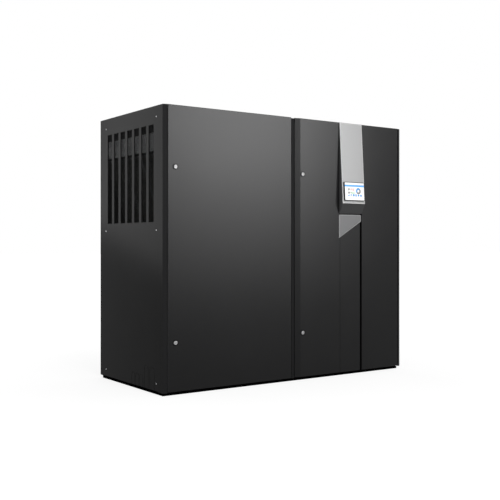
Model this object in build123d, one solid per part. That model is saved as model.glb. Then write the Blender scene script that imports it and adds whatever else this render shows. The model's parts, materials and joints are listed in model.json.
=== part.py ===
from build123d import *
import math
import os

os.makedirs("parts", exist_ok=True)

# Computer room air conditioner. Sizes are in millimetres. Every piece is drawn with x from the
# left face of the cabinet, y backwards from the front of the doors and z up from the floor.

# Cabinet
CABINET_WIDTH = 2222.0
CABINET_DEPTH = 1000.0
CABINET_HEIGHT = 1970.0
SHEET = 2.0
TUBE_WALL = 2.5
FRAME_TOP_DROP = 4.0

# Plinth and base frame
PLINTH_HEIGHT = 18.0
PLINTH_SETBACK = 17.0
PLINTH_LEFT_SETBACK = 2.0
PLINTH_RIGHT_SETBACK = 34.0
PLINTH_REAR_SETBACK = 38.0
BASE_HEIGHT = 100.0
BASE_BAR_DEPTH = 60.0
TRAY_THICKNESS = 3.0
PANEL_FLOOR_GAP = 22.0

# Posts and top rails
POST_WIDTH = 27.0
POST_DEPTH = 90.0
POST_FACE_Y = 3.0
BEVEL_DEPTH = 13.0
POST_RETURN = 48.0
STRIKE_WIDTH = 30.0
REAR_POST_WIDTH = 45.0
REAR_POST_DEPTH = 58.0
RAIL_HEIGHT = 66.0
SIDE_RAIL_WIDTH = 40.0

# Centre post between the two doors, a little left of the cabinet's middle
NOSE_OFFSET = 5.0
NOSE_WIDTH = 24.0
NOSE_Y = 13.0
MIDDLE_STRIP_LEFT = 30.0
MIDDLE_STRIP_RIGHT = 30.0
MIDDLE_TUBE_WIDTH = 44.0

# Doors
DOOR_THICKNESS = 25.0
DOOR_FLOOR_GAP = 24.0
DOOR_BACK_GAP = 8.0
LATCH_SIDE_GAP = 5.0
HINGE_SIDE_GAP = 12.0
BEND_RADIUS = 3.0

# Right door: bevelled margin, left panel, display column, groove and right panel
MARGIN_WIDTH = 45.0
SEAM = 2.0
COLUMN_WIDTH = 207.5
COLUMN_OFFSET = 12.0
GROOVE_WIDTH = 20.0

# Hinges, with the pin inside the door near its right edge
HINGE_EDGE = 6.0
HINGE_FRONT = 8.0
HINGE_FROM_FLOOR = 320.0
HINGE_FROM_TOP = 320.0
PIN_RADIUS = 3.0
PIN_CLEARANCE = 0.3
BOSS_RADIUS = 5.0
BOSS_HEIGHT = 24.0
ARM_WIDTH = 6.0
ARM_HEIGHT = 12.0
LUG_THICKNESS = 4.0
LUG_LENGTH = 18.0
LUG_GAP = 0.3

# Quarter-turn latches
LATCH_FROM_FLOOR = 356.0
LATCH_FROM_TOP = 420.0
LEFT_LATCH_INSET = 58.0
RIGHT_LATCH_INSET = 67.0
HEAD_RADIUS = 14.0
HEAD_HEIGHT = 5.0
HEAD_CHAMFER = 2.0
HEAD_GAP = 0.3
SLOT_WIDTH = 4.0
SLOT_DEPTH = 2.0
COLLAR_RADIUS = 20.0
COLLAR_BORE = 15.0
COLLAR_HEIGHT = 3.0
SPINDLE_RADIUS = 6.0
SPINDLE_HOLE = 8.0
TONGUE_LENGTH = 52.0
TONGUE_WIDTH = 16.0
TONGUE_THICKNESS = 3.0
TONGUE_BACK_GAP = 15.0

# Display wedge
WEDGE_WIDTH = 229.0
WEDGE_TOP_PROUD = 7.0
WEDGE_EDGE_PROUD = 46.0
WEDGE_FACE_DROP = 631.0
UNDERCUT_DROP = 77.0
FACE_THICKNESS = 4.0
RIM_WIDTH = 8.0
RIM_HEIGHT = 1.0
HOUSING_DEPTH = 14.0
HOUSING_INSET = 1.0
COWL_WALL = 3.0

# Display module on the wedge
MODULE_LEFT_GAP = 4.5
MODULE_RIGHT_GAP = 0.5
MODULE_LOW_GAP = 12.0
MODULE_HEIGHT = 147.0
MODULE_PROUD = 9.0
MODULE_CORNER = 8.0
SCREEN_LEFT_BORDER = 7.0
SCREEN_RIGHT_BORDER = 3.0
SCREEN_TOP_BORDER = 5.0
SCREEN_LOW_BORDER = 6.0
SCREEN_THICKNESS = 1.5
SCREEN_CORNER = 4.0

# Accent plate below the wedge
ACCENT_THICKNESS = 3.0
ACCENT_CHAMFER = 1.0
ACCENT_GAP = 11.0
ACCENT_LEFT_HEIGHT = 180.0
ACCENT_RIGHT_HEIGHT = 48.0

# Side grilles, with as many strips as the depth leaves room for
STRIP_WIDTH = 74.0
STRIP_PITCH = 109.3
STRIP_FIRST_Y = 142.0
STRIP_REAR_MARGIN = 100.0
STRIP_LENGTH = 670.0
STRIP_FROM_TOP = 124.0
GRILLE_MARGIN = 12.0
GRILLE_SHEET = 1.5

# Pieces seen through the grilles and behind the doors
FILTER_RAIL_FROM_TOP = 179.0
FILTER_RAIL_HEIGHT = 126.0
FILTER_RAIL_X = 5.0
FILTER_FROM_TOP = 320.0
FILTER_HEIGHT = 520.0
FILTER_TOP_X = 16.0
FILTER_LEAN = 190.0
FILTER_THICKNESS = 45.0
COVER_DEPTH = 30.0
COVER_WIDTH = 860.0
COVER_HEIGHT = 620.0
COVER_FROM_TOP = 170.0
COVER_INSET = 80.0

# Places worked out from the sizes above
FRAME_Y = DOOR_THICKNESS + DOOR_BACK_GAP
FRAME_TOP = CABINET_HEIGHT - FRAME_TOP_DROP
TRAY_TOP = BASE_HEIGHT + TRAY_THICKNESS
RAIL_LOW = FRAME_TOP - RAIL_HEIGHT
RIGHT_POST_X = CABINET_WIDTH - POST_WIDTH
REAR_POST_Y = CABINET_DEPTH - SHEET - REAR_POST_DEPTH
INNER_Y = POST_DEPTH

MIDDLE_X = CABINET_WIDTH / 2 - NOSE_OFFSET
NOSE_X0 = MIDDLE_X - NOSE_WIDTH / 2
NOSE_X1 = MIDDLE_X + NOSE_WIDTH / 2
LEFT_DOOR_X0 = POST_WIDTH + LATCH_SIDE_GAP
LEFT_DOOR_X1 = NOSE_X0 - HINGE_SIDE_GAP
RIGHT_DOOR_X0 = NOSE_X1 + LATCH_SIDE_GAP
RIGHT_DOOR_X1 = RIGHT_POST_X - HINGE_SIDE_GAP
COLUMN_X0 = (RIGHT_DOOR_X0 + RIGHT_DOOR_X1) / 2 + COLUMN_OFFSET - COLUMN_WIDTH / 2
COLUMN_X1 = COLUMN_X0 + COLUMN_WIDTH
LEFT_PANEL_X1 = COLUMN_X0 - SEAM
RIGHT_PANEL_X0 = COLUMN_X1 + GROOVE_WIDTH
WEDGE_X0 = (COLUMN_X0 + COLUMN_X1 - WEDGE_WIDTH) / 2
WEDGE_X1 = WEDGE_X0 + WEDGE_WIDTH
MODULE_X0 = WEDGE_X0 + RIM_WIDTH + MODULE_LEFT_GAP
MODULE_X1 = WEDGE_X1 - RIM_WIDTH - MODULE_RIGHT_GAP
MODULE_WIDTH = MODULE_X1 - MODULE_X0
DOOR_BACK_Y = DOOR_THICKNESS - SHEET
HINGE_HEIGHTS = (HINGE_FROM_FLOOR, CABINET_HEIGHT - HINGE_FROM_TOP)
LATCH_HEIGHTS = (LATCH_FROM_FLOOR, CABINET_HEIGHT - LATCH_FROM_TOP)

WEDGE_EDGE_Z = CABINET_HEIGHT - WEDGE_FACE_DROP
WEDGE_LIP_Z = WEDGE_EDGE_Z - UNDERCUT_DROP
ACCENT_TOP_Z = WEDGE_LIP_Z - ACCENT_GAP
STRIP_HIGH_Z = CABINET_HEIGHT - STRIP_FROM_TOP
STRIP_LOW_Z = STRIP_HIGH_Z - STRIP_LENGTH
STRIP_ROOM = CABINET_DEPTH - STRIP_REAR_MARGIN - STRIP_FIRST_Y
STRIP_COUNT = int((STRIP_ROOM + STRIP_PITCH - STRIP_WIDTH) / STRIP_PITCH)


def block(x0, x1, y0, y1, z0, z1):
    """A box between two corners."""
    return Pos((x0 + x1) / 2, (y0 + y1) / 2, (z0 + z1) / 2) * Box(x1 - x0, y1 - y0, z1 - z0)


def plan_prism(outline, z0, z1):
    """A plan outline carried up from z0 to z1."""
    return Pos(0, 0, z0) * extrude(Polygon(*outline, align=None), amount=z1 - z0, dir=(0, 0, 1))


def side_prism(outline, x0, x1):
    """An outline in y and z carried across from x0 to x1."""
    sketch = Plane.YZ * Polygon(*outline, align=None)
    return Pos(x0, 0, 0) * extrude(sketch, amount=x1 - x0, dir=(1, 0, 0))


def cross_prism(outline, y0, y1):
    """An outline in x and z carried back from y0 to y1."""
    sketch = Plane.XZ * Polygon(*outline, align=None)
    return Pos(0, y0, 0) * extrude(sketch, amount=y1 - y0, dir=(0, 1, 0))


def plan_tube(outline, z0, z1):
    """A closed folded post with the given plan outline."""
    face = Polygon(*outline, align=None)
    inner = offset(face, amount=-TUBE_WALL, kind=Kind.INTERSECTION)
    return Pos(0, 0, z0) * extrude(face - inner, amount=z1 - z0, dir=(0, 0, 1))


def rod_y(x, z, radius, y0, y1):
    """A round rod along y."""
    return Pos(x, (y0 + y1) / 2, z) * Rot(90, 0, 0) * Cylinder(radius, y1 - y0)


def rod_z(x, y, radius, z0, z1):
    """A round rod along z."""
    return Pos(x, y, (z0 + z1) / 2) * Cylinder(radius, z1 - z0)


def mirrored(shape):
    """The same piece on the other side of the cabinet."""
    return mirror(shape, about=Plane.YZ.offset(CABINET_WIDTH / 2))


def pan(x0, x1, z0, z1):
    """A folded door skin: a flat front with rounded edges and four returns."""
    outer = block(x0, x1, 0, DOOR_BACK_Y, z0, z1)
    front = outer.faces().sort_by(Axis.Y)[0]
    outer = fillet(front.edges(), BEND_RADIUS)
    back = outer.faces().sort_by(Axis.Y)[-1]
    return offset(outer, amount=-SHEET, openings=back)


def hinge_notches(door_x1):
    """The pockets at a door's hinge edge that let the frame's arms in."""
    pin_x = door_x1 - HINGE_EDGE
    half = BOSS_HEIGHT / 2 + LUG_GAP
    reach = BOSS_RADIUS + PIN_RADIUS
    return [block(pin_x - reach, door_x1 + SHEET, SHEET, DOOR_THICKNESS, z - half, z + half)
            for z in HINGE_HEIGHTS]


def latch_holes(x):
    """The holes through both door sheets for the latch spindles."""
    return [rod_y(x, z, SPINDLE_HOLE, -SHEET, DOOR_THICKNESS + SHEET) for z in LATCH_HEIGHTS]


def cut(shape, tools):
    """A shape less each of the tools."""
    for tool in tools:
        shape = shape - tool
    return shape


def tube_x(x0, x1, y0, y1, z0, z1):
    """An open-ended square tube along x."""
    wall = TUBE_WALL
    return (block(x0, x1, y0, y1, z0, z1)
            - block(x0, x1, y0 + wall, y1 - wall, z0 + wall, z1 - wall))


def tube_y(x0, x1, y0, y1, z0, z1):
    """An open-ended square tube along y."""
    wall = TUBE_WALL
    return (block(x0, x1, y0, y1, z0, z1)
            - block(x0 + wall, x1 - wall, y0, y1, z0 + wall, z1 - wall))


def base_front():
    low = block(PLINTH_LEFT_SETBACK, CABINET_WIDTH - PLINTH_RIGHT_SETBACK,
                PLINTH_SETBACK, PLINTH_SETBACK + BASE_BAR_DEPTH, 0, PLINTH_HEIGHT)
    high = tube_x(POST_WIDTH, RIGHT_POST_X,
                  FRAME_Y, PLINTH_SETBACK + BASE_BAR_DEPTH, PLINTH_HEIGHT, BASE_HEIGHT)
    return low + high


def base_rear():
    back = CABINET_DEPTH - PLINTH_REAR_SETBACK
    low = block(PLINTH_LEFT_SETBACK, CABINET_WIDTH - PLINTH_RIGHT_SETBACK,
                back - BASE_BAR_DEPTH, back, 0, PLINTH_HEIGHT)
    inset = SHEET + REAR_POST_WIDTH
    high = tube_x(inset, CABINET_WIDTH - inset, back - BASE_BAR_DEPTH, back,
                  PLINTH_HEIGHT, BASE_HEIGHT)
    return low + high


def base_sides():
    front = max(PLINTH_SETBACK + BASE_BAR_DEPTH, POST_DEPTH)
    back = CABINET_DEPTH - PLINTH_REAR_SETBACK - BASE_BAR_DEPTH
    bars = []
    for x0 in (PLINTH_LEFT_SETBACK, CABINET_WIDTH - PLINTH_RIGHT_SETBACK - BASE_BAR_DEPTH):
        x1 = x0 + BASE_BAR_DEPTH
        low = block(x0, x1, PLINTH_SETBACK + BASE_BAR_DEPTH, back, 0, PLINTH_HEIGHT)
        bars.append(low + tube_y(x0, x1, front, back, PLINTH_HEIGHT, BASE_HEIGHT))
    return bars


def base_tray():
    return block(POST_WIDTH, RIGHT_POST_X, FRAME_Y, REAR_POST_Y, BASE_HEIGHT, TRAY_TOP)


def post_front_left():
    outline = [(0, POST_FACE_Y + BEVEL_DEPTH), (POST_WIDTH, POST_FACE_Y),
               (POST_WIDTH, POST_DEPTH), (SHEET, POST_DEPTH),
               (SHEET, POST_RETURN), (0, POST_RETURN)]
    return plan_tube(outline, PLINTH_HEIGHT, CABINET_HEIGHT)


def post_rear_left():
    outline = [(SHEET, REAR_POST_Y), (SHEET + REAR_POST_WIDTH, REAR_POST_Y),
               (SHEET + REAR_POST_WIDTH, CABINET_DEPTH - SHEET), (SHEET, CABINET_DEPTH - SHEET)]
    return plan_tube(outline, PLINTH_HEIGHT, FRAME_TOP)


def post_middle():
    """The narrow nose between the doors, and the tube behind it that carries the hinges."""
    nose = block(NOSE_X0, NOSE_X1, NOSE_Y, FRAME_Y, PLINTH_HEIGHT, FRAME_TOP)
    x0 = MIDDLE_X - MIDDLE_TUBE_WIDTH / 2
    x1 = MIDDLE_X + MIDDLE_TUBE_WIDTH / 2
    outline = [(x0, FRAME_Y + SHEET), (x1, FRAME_Y + SHEET), (x1, POST_DEPTH), (x0, POST_DEPTH)]
    return [nose, plan_tube(outline, TRAY_TOP, RAIL_LOW)]


def strike_strips():
    """The folded strips behind the doors' edges that the latch tongues turn behind."""
    spans = ((POST_WIDTH, POST_WIDTH + STRIKE_WIDTH),
             (NOSE_X0 - MIDDLE_STRIP_LEFT, NOSE_X1 + MIDDLE_STRIP_RIGHT),
             (RIGHT_POST_X - STRIKE_WIDTH, RIGHT_POST_X))
    return [block(x0, x1, FRAME_Y, FRAME_Y + SHEET, TRAY_TOP, RAIL_LOW) for x0, x1 in spans]


def header_front():
    return tube_x(POST_WIDTH, RIGHT_POST_X, FRAME_Y, POST_DEPTH, RAIL_LOW, FRAME_TOP)


def header_ring():
    """The rear rail and the two side rails under the roof."""
    inset = SHEET + REAR_POST_WIDTH
    rear = tube_x(inset, CABINET_WIDTH - inset, REAR_POST_Y, CABINET_DEPTH - SHEET,
                  RAIL_LOW, FRAME_TOP)
    left = tube_y(SHEET, SHEET + SIDE_RAIL_WIDTH, INNER_Y + SHEET, REAR_POST_Y,
                  RAIL_LOW, FRAME_TOP)
    return [rear, left, mirrored(left)]


def roof_panel():
    """The roof sheet, notched round the front posts."""
    outline = [(POST_WIDTH, FRAME_Y), (RIGHT_POST_X, FRAME_Y), (RIGHT_POST_X, POST_DEPTH),
               (CABINET_WIDTH - SHEET, POST_DEPTH), (CABINET_WIDTH - SHEET, CABINET_DEPTH - SHEET),
               (SHEET, CABINET_DEPTH - SHEET), (SHEET, POST_DEPTH), (POST_WIDTH, POST_DEPTH)]
    return plan_prism(outline, FRAME_TOP, FRAME_TOP + SHEET)


def rear_panel(x0, x1):
    return block(x0, x1, CABINET_DEPTH - SHEET, CABINET_DEPTH, PANEL_FLOOR_GAP, CABINET_HEIGHT)


def side_panel_left():
    sheet = block(0, SHEET, POST_RETURN, CABINET_DEPTH, PANEL_FLOOR_GAP, CABINET_HEIGHT)
    slots = []
    for index in range(STRIP_COUNT):
        y = STRIP_FIRST_Y + index * STRIP_PITCH
        slots.append(block(-SHEET, 2 * SHEET, y, y + STRIP_WIDTH, STRIP_LOW_Z, STRIP_HIGH_Z))
    return cut(sheet, slots)


def grille_left():
    last_y = STRIP_FIRST_Y + (STRIP_COUNT - 1) * STRIP_PITCH + STRIP_WIDTH
    return block(SHEET, SHEET + GRILLE_SHEET, STRIP_FIRST_Y - GRILLE_MARGIN,
                 last_y + GRILLE_MARGIN, STRIP_LOW_Z - GRILLE_MARGIN,
                 STRIP_HIGH_Z + GRILLE_MARGIN)


def filter_rails():
    high_z = CABINET_HEIGHT - FILTER_RAIL_FROM_TOP
    left = block(FILTER_RAIL_X, FILTER_RAIL_X + SHEET, INNER_Y + SHEET, REAR_POST_Y,
                 high_z - FILTER_RAIL_HEIGHT, high_z)
    return [left, mirrored(left)]


def filters():
    """Slanted filter frames that lean away from the grilles towards the bottom."""
    top_z = CABINET_HEIGHT - FILTER_FROM_TOP
    low_z = top_z - FILTER_HEIGHT
    outline = [(FILTER_TOP_X, top_z), (FILTER_TOP_X + FILTER_THICKNESS, top_z),
               (FILTER_TOP_X + FILTER_LEAN + FILTER_THICKNESS, low_z),
               (FILTER_TOP_X + FILTER_LEAN, low_z)]
    left = cross_prism(outline, INNER_Y + SHEET, REAR_POST_Y)
    return [left, mirrored(left)]


def inner_panel(x0, x1):
    return block(x0, x1, INNER_Y, INNER_Y + SHEET, TRAY_TOP, FRAME_TOP)


def electric_cover():
    x1 = RIGHT_POST_X - COVER_INSET
    high_z = CABINET_HEIGHT - COVER_FROM_TOP
    outer = block(x1 - COVER_WIDTH, x1, INNER_Y - COVER_DEPTH, INNER_Y,
                  high_z - COVER_HEIGHT, high_z)
    front = outer.faces().sort_by(Axis.Y)[0]
    outer = fillet(front.edges(), BEND_RADIUS)
    return offset(outer, amount=-SHEET, openings=outer.faces().sort_by(Axis.Y)[-1])


def hinge_bracket(door_x1, z):
    """An arm on the frame that ends in a bored boss round the door's pin."""
    x = door_x1 - HINGE_EDGE
    arm = block(x - ARM_WIDTH / 2, x + ARM_WIDTH / 2, HINGE_FRONT, FRAME_Y,
                z - ARM_HEIGHT / 2, z + ARM_HEIGHT / 2)
    boss = rod_z(x, HINGE_FRONT, BOSS_RADIUS, z - BOSS_HEIGHT / 2, z + BOSS_HEIGHT / 2)
    bore = rod_z(x, HINGE_FRONT, PIN_RADIUS + PIN_CLEARANCE, z - BOSS_HEIGHT, z + BOSS_HEIGHT)
    return arm + boss - bore


def hinge_brackets():
    return [hinge_bracket(x1, z) for x1 in (LEFT_DOOR_X1, RIGHT_DOOR_X1) for z in HINGE_HEIGHTS]


def hinge_pin(door_x1, z):
    """A pin between two lugs on the door, above and below the frame's boss."""
    x = door_x1 - HINGE_EDGE
    half = BOSS_HEIGHT / 2 + LUG_GAP
    lug_x1 = door_x1 - SHEET
    pin = rod_z(x, HINGE_FRONT, PIN_RADIUS, z - half - LUG_THICKNESS, z + half + LUG_THICKNESS)
    for z0 in (z - half - LUG_THICKNESS, z + half):
        pin = pin + block(lug_x1 - LUG_LENGTH, lug_x1, BEND_RADIUS, DOOR_BACK_Y,
                          z0, z0 + LUG_THICKNESS)
    return pin


def door_back(x0, x1, latch_x):
    sheet = block(x0 + SHEET, x1 - SHEET, DOOR_BACK_Y, DOOR_THICKNESS,
                  DOOR_FLOOR_GAP + SHEET, CABINET_HEIGHT - SHEET)
    return cut(sheet, hinge_notches(x1) + latch_holes(latch_x))


def left_door_panel():
    skin = pan(LEFT_DOOR_X0, LEFT_DOOR_X1, DOOR_FLOOR_GAP, CABINET_HEIGHT)
    holes = latch_holes(LEFT_DOOR_X0 + LEFT_LATCH_INSET)
    return cut(skin, hinge_notches(LEFT_DOOR_X1) + holes)


def right_door_left_panel():
    """The bevelled margin and the left panel of the right door, folded from one sheet."""
    x0, x1 = RIGHT_DOOR_X0, LEFT_PANEL_X1
    outline = [(x0, BEVEL_DEPTH), (x0 + MARGIN_WIDTH, 0), (x1, 0), (x1, DOOR_BACK_Y),
               (x0, DOOR_BACK_Y)]
    outer = plan_prism(outline, DOOR_FLOOR_GAP, CABINET_HEIGHT)
    back = outer.faces().sort_by(Axis.Y)[-1]
    skin = offset(outer, amount=-SHEET, openings=back, kind=Kind.INTERSECTION)
    return cut(skin, latch_holes(RIGHT_DOOR_X0 + RIGHT_LATCH_INSET))


def right_door_right_panel():
    skin = pan(RIGHT_PANEL_X0, RIGHT_DOOR_X1, DOOR_FLOOR_GAP, CABINET_HEIGHT)
    return cut(skin, hinge_notches(RIGHT_DOOR_X1))


def display_column():
    return pan(COLUMN_X0, COLUMN_X1, DOOR_FLOOR_GAP, CABINET_HEIGHT)


def accent_plate():
    outline = [(WEDGE_X0, ACCENT_TOP_Z), (WEDGE_X1, ACCENT_TOP_Z),
               (WEDGE_X1, ACCENT_TOP_Z - ACCENT_RIGHT_HEIGHT),
               (WEDGE_X0, ACCENT_TOP_Z - ACCENT_LEFT_HEIGHT)]
    plate = cross_prism(outline, -ACCENT_THICKNESS, 0)
    return chamfer(plate.faces().sort_by(Axis.Y)[0].edges(), ACCENT_CHAMFER)


def slope_y(z, top_y, edge_y):
    """Where a line along the wedge's slope stands at a height."""
    share = (CABINET_HEIGHT - z) / (CABINET_HEIGHT - WEDGE_EDGE_Z)
    return top_y + share * (edge_y - top_y)


def slope_z(y, top_y, edge_y):
    """The height at which a line along the wedge's slope reaches a depth."""
    share = (y - top_y) / (edge_y - top_y)
    return CABINET_HEIGHT - share * (CABINET_HEIGHT - WEDGE_EDGE_Z)


FACE_TOP_Y = -WEDGE_TOP_PROUD
FACE_EDGE_Y = -WEDGE_EDGE_PROUD
REAR_TOP_Y = FACE_TOP_Y + FACE_THICKNESS
REAR_EDGE_Y = FACE_EDGE_Y + FACE_THICKNESS
UNDERCUT_SLOPE = (WEDGE_EDGE_Z - WEDGE_LIP_Z) / (WEDGE_EDGE_PROUD - WEDGE_TOP_PROUD)
HOUSING_HIGH_Z = slope_z(-HOUSING_DEPTH, REAR_TOP_Y, REAR_EDGE_Y)
HOUSING_LOW_Z = WEDGE_EDGE_Z - (REAR_EDGE_Y + HOUSING_DEPTH) * -UNDERCUT_SLOPE


def display_housing():
    """The black base of the wedge, set in a little at its sides."""
    outline = [(-HOUSING_DEPTH, HOUSING_HIGH_Z), (-HOUSING_DEPTH, HOUSING_LOW_Z),
               (REAR_TOP_Y, WEDGE_LIP_Z), (0, WEDGE_LIP_Z), (0, CABINET_HEIGHT),
               (REAR_TOP_Y, CABINET_HEIGHT)]
    return side_prism(outline, WEDGE_X0 + HOUSING_INSET, WEDGE_X1 - HOUSING_INSET)


def display_cowl():
    """The grey sides and underside of the wedge."""
    outline = [(-HOUSING_DEPTH, HOUSING_HIGH_Z), (REAR_EDGE_Y, WEDGE_EDGE_Z),
               (FACE_EDGE_Y, WEDGE_EDGE_Z), (FACE_TOP_Y, WEDGE_LIP_Z),
               (REAR_TOP_Y, WEDGE_LIP_Z), (-HOUSING_DEPTH, HOUSING_LOW_Z)]
    hollow = [(-HOUSING_DEPTH, HOUSING_HIGH_Z), (REAR_EDGE_Y, WEDGE_EDGE_Z),
              (-HOUSING_DEPTH, HOUSING_LOW_Z)]
    body = side_prism(outline, WEDGE_X0, WEDGE_X1)
    return body - side_prism(hollow, WEDGE_X0 + COWL_WALL, WEDGE_X1 - COWL_WALL)


def face_plane(x, z):
    """The plane of the wedge's sloped face, with its origin at a place on the rim's level."""
    rise = CABINET_HEIGHT - WEDGE_EDGE_Z
    lean = WEDGE_EDGE_PROUD - WEDGE_TOP_PROUD
    y = slope_y(z, FACE_TOP_Y, FACE_EDGE_Y)
    return Plane(origin=(x, y, z), x_dir=(1, 0, 0), z_dir=(0, -rise, lean))


def display_bezel():
    """The silver face of the wedge, leaning out towards its lower edge, inside a raised rim."""
    outline = [(FACE_TOP_Y, CABINET_HEIGHT), (FACE_EDGE_Y, WEDGE_EDGE_Z),
               (REAR_EDGE_Y, WEDGE_EDGE_Z), (REAR_TOP_Y, CABINET_HEIGHT)]
    plate = side_prism(outline, WEDGE_X0, WEDGE_X1)
    plane = face_plane((WEDGE_X0 + WEDGE_X1) / 2, (CABINET_HEIGHT + WEDGE_EDGE_Z) / 2)
    length = math.hypot(CABINET_HEIGHT - WEDGE_EDGE_Z, WEDGE_EDGE_PROUD - WEDGE_TOP_PROUD)
    return plate - plane * Box(WEDGE_WIDTH - 2 * RIM_WIDTH, length - 2 * RIM_WIDTH, 2 * RIM_HEIGHT)


def module_plane():
    """The plane that the screen's body stands on, at the bottom of the rim's recess."""
    z = WEDGE_EDGE_Z + RIM_WIDTH + MODULE_LOW_GAP + MODULE_HEIGHT / 2
    return face_plane((MODULE_X0 + MODULE_X1) / 2, z) * Pos(0, 0, -RIM_HEIGHT)


def screen_block():
    """The glass, in the frame of the screen's body."""
    outline = RectangleRounded(MODULE_WIDTH - SCREEN_LEFT_BORDER - SCREEN_RIGHT_BORDER,
                               MODULE_HEIGHT - SCREEN_TOP_BORDER - SCREEN_LOW_BORDER, SCREEN_CORNER)
    place = Pos((SCREEN_LEFT_BORDER - SCREEN_RIGHT_BORDER) / 2,
                (SCREEN_LOW_BORDER - SCREEN_TOP_BORDER) / 2, MODULE_PROUD - SCREEN_THICKNESS)
    return place * extrude(outline, amount=SCREEN_THICKNESS)


def display_module():
    """The black screen body, with a recess for the glass."""
    body = extrude(RectangleRounded(MODULE_WIDTH, MODULE_HEIGHT, MODULE_CORNER),
                   amount=MODULE_PROUD)
    return module_plane() * (body - screen_block())


def display_screen():
    return module_plane() * screen_block()


def latch_collars(x):
    """The dark rings that the latch heads sit in."""
    return [rod_y(x, z, COLLAR_RADIUS, -COLLAR_HEIGHT, 0)
            - rod_y(x, z, COLLAR_BORE, -2 * COLLAR_HEIGHT, COLLAR_HEIGHT) for z in LATCH_HEIGHTS]


def latch(x, z):
    """A slotted head, its spindle through the door and the tongue, hanging down unlocked."""
    head = rod_y(x, z, HEAD_RADIUS, -HEAD_HEIGHT - HEAD_GAP, -HEAD_GAP)
    head = chamfer(head.edges().group_by(Axis.Y)[0], HEAD_CHAMFER)
    slot = block(x - HEAD_RADIUS / 2, x + HEAD_RADIUS / 2, -HEAD_HEIGHT - HEAD_GAP,
                 -HEAD_HEIGHT - HEAD_GAP + SLOT_DEPTH, z - SLOT_WIDTH / 2, z + SLOT_WIDTH / 2)
    tongue_y = DOOR_THICKNESS + TONGUE_BACK_GAP
    spindle = rod_y(x, z, SPINDLE_RADIUS, -HEAD_GAP, tongue_y + 2 * TONGUE_THICKNESS)
    tongue = block(x - TONGUE_WIDTH / 2, x + TONGUE_WIDTH / 2, tongue_y,
                   tongue_y + TONGUE_THICKNESS, z - TONGUE_LENGTH, z + TONGUE_WIDTH / 2)
    return head - slot + spindle + tongue


def make_nodes():
    rear_middle = CABINET_WIDTH / 2
    left_latch_x = LEFT_DOOR_X0 + LEFT_LATCH_INSET
    right_latch_x = RIGHT_DOOR_X0 + RIGHT_LATCH_INSET
    nodes = {
        "base_front": base_front(),
        "base_rear": base_rear(),
        "base_sides": base_sides(),
        "base_tray": base_tray(),
        "post_front_left": post_front_left(),
        "post_front_right": mirrored(post_front_left()),
        "post_rear_left": post_rear_left(),
        "post_rear_right": mirrored(post_rear_left()),
        "post_middle": post_middle(),
        "strike_strips": strike_strips(),
        "header_front": header_front(),
        "header_ring": header_ring(),
        "roof_panel": roof_panel(),
        "rear_panel_left": rear_panel(SHEET, rear_middle - SEAM / 2),
        "rear_panel_right": rear_panel(rear_middle + SEAM / 2, CABINET_WIDTH - SHEET),
        "side_panel_left": side_panel_left(),
        "side_panel_right": mirrored(side_panel_left()),
        "grille_left": grille_left(),
        "grille_right": mirrored(grille_left()),
        "filter_rails": filter_rails(),
        "filters": filters(),
        "inner_panel_left": inner_panel(SHEET, MIDDLE_X - SEAM / 2),
        "inner_panel_right": inner_panel(MIDDLE_X + SEAM / 2, CABINET_WIDTH - SHEET),
        "electric_cover": electric_cover(),
        "hinge_brackets": hinge_brackets(),
        "left_door_panel": left_door_panel(),
        "left_door_back": door_back(LEFT_DOOR_X0, LEFT_DOOR_X1, left_latch_x),
        "left_door_hinges": [hinge_pin(LEFT_DOOR_X1, z) for z in HINGE_HEIGHTS],
        "left_latch_collars": latch_collars(left_latch_x),
        "right_door_left_panel": right_door_left_panel(),
        "right_door_right_panel": right_door_right_panel(),
        "right_door_back": door_back(RIGHT_DOOR_X0, RIGHT_DOOR_X1, right_latch_x),
        "right_door_hinges": [hinge_pin(RIGHT_DOOR_X1, z) for z in HINGE_HEIGHTS],
        "right_latch_collars": latch_collars(right_latch_x),
        "display_column": display_column(),
        "accent_plate": accent_plate(),
        "display_housing": display_housing(),
        "display_cowl": display_cowl(),
        "display_bezel": display_bezel(),
        "display_module": display_module(),
        "display_screen": display_screen(),
    }
    for side, x in (("left", left_latch_x), ("right", right_latch_x)):
        for level, z in zip(("lower", "upper"), LATCH_HEIGHTS):
            nodes[f"{side}_latch_{level}"] = latch(x, z)
    return nodes


def write_parts():
    """Centre the whole object on its base and write one file for each node."""
    shapes = {}
    for name, made in make_nodes().items():
        pieces = made if isinstance(made, list) else [made]
        shapes[name] = [solid for piece in pieces for solid in piece.solids()]
    box = Compound([solid for solids in shapes.values() for solid in solids]).bounding_box()
    centre = Pos(-(box.min.X + box.max.X) / 2, -(box.min.Y + box.max.Y) / 2, -box.min.Z)
    print("box", box.size, "moved by", centre.position)
    for name, solids in shapes.items():
        export_step(Compound([centre * solid for solid in solids]), f"parts/{name}.step")


write_parts()
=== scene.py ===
import bmesh
import bpy
import json
import math
from mathutils import Matrix, Vector


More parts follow.
